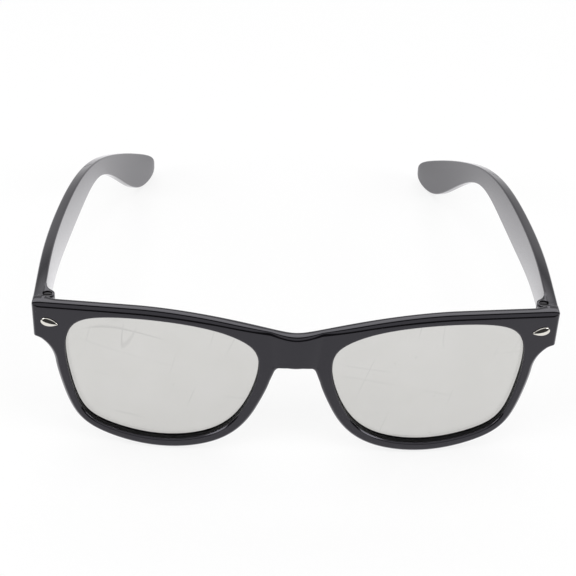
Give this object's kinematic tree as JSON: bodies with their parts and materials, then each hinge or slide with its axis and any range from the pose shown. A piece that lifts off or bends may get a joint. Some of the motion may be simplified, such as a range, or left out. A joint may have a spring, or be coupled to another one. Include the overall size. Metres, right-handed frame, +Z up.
{
  "type": "3d glasses",
  "caption": "Folding glasses with a square moulded front, grey laminated polarising lenses, almond rivets and hinged temples that end in ear paddles.",
  "frame": {"origin": "middle of the open glasses' box, on the table that the rims and the ear tips stand on", "axes": "+X towards the wearer's left, +Y from the front back to the ear tips, +Z up"},
  "size_m": [0.1438, 0.15, 0.0477],
  "materials": {
    "black_plastic": "glossy black moulded plastic",
    "lens_film": "clear grey polarising film, faintly scratched",
    "screw_steel": "slotted steel screw",
    "bright_metal": "polished bright metal"
  },
  "bodies": {
    "front": {"front_frame": "black_plastic", "left_retarder_film": "lens_film", "left_polariser_film": "lens_film", "left_backing_film": "lens_film", "right_retarder_film": "lens_film", "right_polariser_film": "lens_film", "right_backing_film": "lens_film", "left_rivet": "bright_metal", "right_rivet": "bright_metal"},
    "left_arm": {"left_temple": "black_plastic", "left_hinge_screw": "screw_steel"},
    "right_arm": {"right_temple": "black_plastic", "right_hinge_screw": "screw_steel"}
  },
  "joints": [
    {"name": "left_fold", "type": "hinge", "parent": "front", "child": "left_arm", "pos_m": [0.0677, -0.06318, 0.0412], "axis": [0, 0, 1], "range_deg": [0, 82]},
    {"name": "right_fold", "type": "hinge", "parent": "front", "child": "right_arm", "pos_m": [-0.0677, -0.06318, 0.0412], "axis": [0, 0, -1], "range_deg": [0, 77]}
  ]
}
